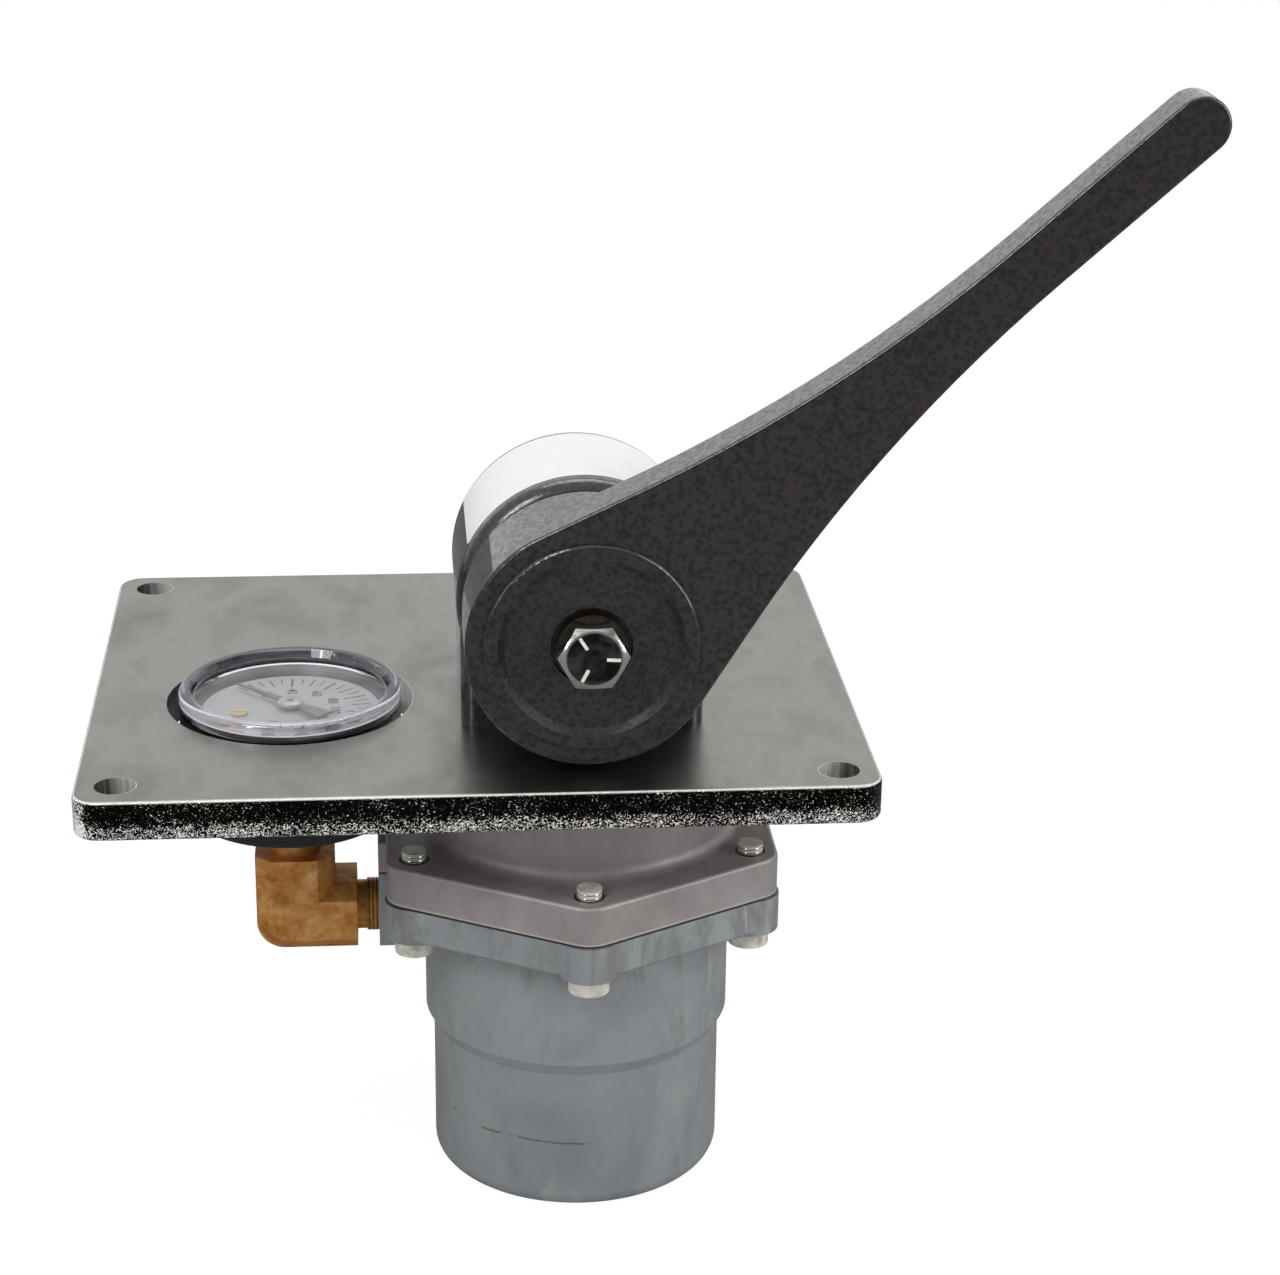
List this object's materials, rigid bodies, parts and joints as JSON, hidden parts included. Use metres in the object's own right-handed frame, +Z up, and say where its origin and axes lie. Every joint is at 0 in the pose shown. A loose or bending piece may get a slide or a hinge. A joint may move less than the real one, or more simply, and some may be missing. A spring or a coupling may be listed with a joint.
{
  "type": "lever-operated air pressure control valve",
  "caption": "Hand-lever air control valve on a flat panel plate, with a piped pressure gauge set in the plate and a flanged valve body below it.",
  "frame": {"origin": "centre of the four panel holes, on the underside of the plate", "axes": "+Z up through the plate towards the lever, -Y towards the lever's side of the plate, -X towards the gauge"},
  "size_m": [0.2554, 0.1524, 0.2784],
  "materials": {
    "plated_steel": "satin plated plate, cast grain on its rim",
    "hammertone_enamel": "dark glossy hammertone enamel",
    "zinc_steel": "bright zinc",
    "bare_steel": "ground",
    "spring_steel": "drawn wire",
    "bronze": "machined",
    "rubber": "matte",
    "fibre": "matte",
    "cover_casting": "bare casting",
    "body_casting": "bare die casting, stained",
    "machined_aluminium": "machined",
    "mottled_brass": "dull, mottled",
    "black_case": "satin black",
    "white_dial": "white enamel",
    "grey_pointer": "dark grey",
    "clear_lens": "clear moulded plastic"
  },
  "bodies": {
    "valve_body": {"panel_plate": "plated_steel", "camshaft_housing": "hammertone_enamel", "clamp_screws": "zinc_steel", "front_bushing": "bronze", "rear_bushing": "bronze", "shaft_seal": "rubber", "thrust_washers": "bronze", "friction_washer": "fibre", "upper_cover": "cover_casting", "flange_gasket": "rubber", "lower_body": "body_casting", "port_inserts": "bare_steel", "flange_screws": "zinc_steel", "piston_stop": "spring_steel", "valve_seat": "bronze", "bottom_cap": "machined_aluminium", "cap_ring": "spring_steel", "street_elbow": "mottled_brass", "gauge_stem": "mottled_brass", "gauge_case": "black_case", "gauge_dial": "white_dial", "dial_screws": "mottled_brass", "movement_frame": "mottled_brass", "bourdon_tube": "bronze", "gauge_lens": "clear_lens"},
    "lever_shaft": {"lever": "hammertone_enamel", "camshaft": "bare_steel", "shaft_keys": "bare_steel", "cam_disc": "bare_steel", "flat_washer": "zinc_steel", "lock_washer": "zinc_steel", "clamp_bolt": "zinc_steel"},
    "plunger_group": {"plunger": "bronze", "roller_pin": "bare_steel", "graduating_spring": "spring_steel"},
    "roller_group": {"cam_roller": "bare_steel"},
    "piston_group": {"piston": "machined_aluminium", "piston_ring": "rubber"},
    "poppet_group": {"poppet": "bronze", "poppet_spring": "spring_steel"},
    "pointer_group": {"pointer": "grey_pointer", "pointer_spindle": "bare_steel"}
  },
  "joints": [
    {"name": "lever_turn", "type": "hinge", "parent": "valve_body", "child": "lever_shaft", "pos_m": [0.0254, -0.015, 0.0405], "axis": [0, -1, 0], "range_deg": [0, 90]},
    {"name": "plunger_slide", "type": "slide", "parent": "valve_body", "child": "plunger_group", "axis": [0, 0, -1], "range_m": [0, 0.0061], "deforming": ["graduating_spring"]},
    {"name": "roller_spin", "type": "hinge", "parent": "plunger_group", "child": "roller_group", "pos_m": [0.0254, -0.015, 0.0242], "axis": [0, -1, 0], "range_deg": [-256, 0]},
    {"name": "piston_slide", "type": "slide", "parent": "valve_body", "child": "piston_group", "axis": [0, 0, -1], "range_m": [0, 0.0015]},
    {"name": "poppet_slide", "type": "slide", "parent": "valve_body", "child": "poppet_group", "axis": [0, 0, -1], "range_m": [0, 0.00095], "deforming": ["poppet_spring"]},
    {"name": "pointer_turn", "type": "hinge", "parent": "valve_body", "child": "pointer_group", "pos_m": [-0.0445, -0.015, 0.008], "axis": [0, 0, -1], "range_deg": [0, 204]}
  ],
  "couplings": [
    {"joint": "plunger_slide", "follows": "lever_turn", "m_per_rad": 0.0038197},
    {"joint": "roller_spin", "follows": "lever_turn", "ratio": -2.8},
    {"joint": "pointer_turn", "follows": "lever_turn", "ratio": 2.25},
    {"joint": "poppet_slide", "follows": "piston_slide", "ratio": 0.62}
  ]
}
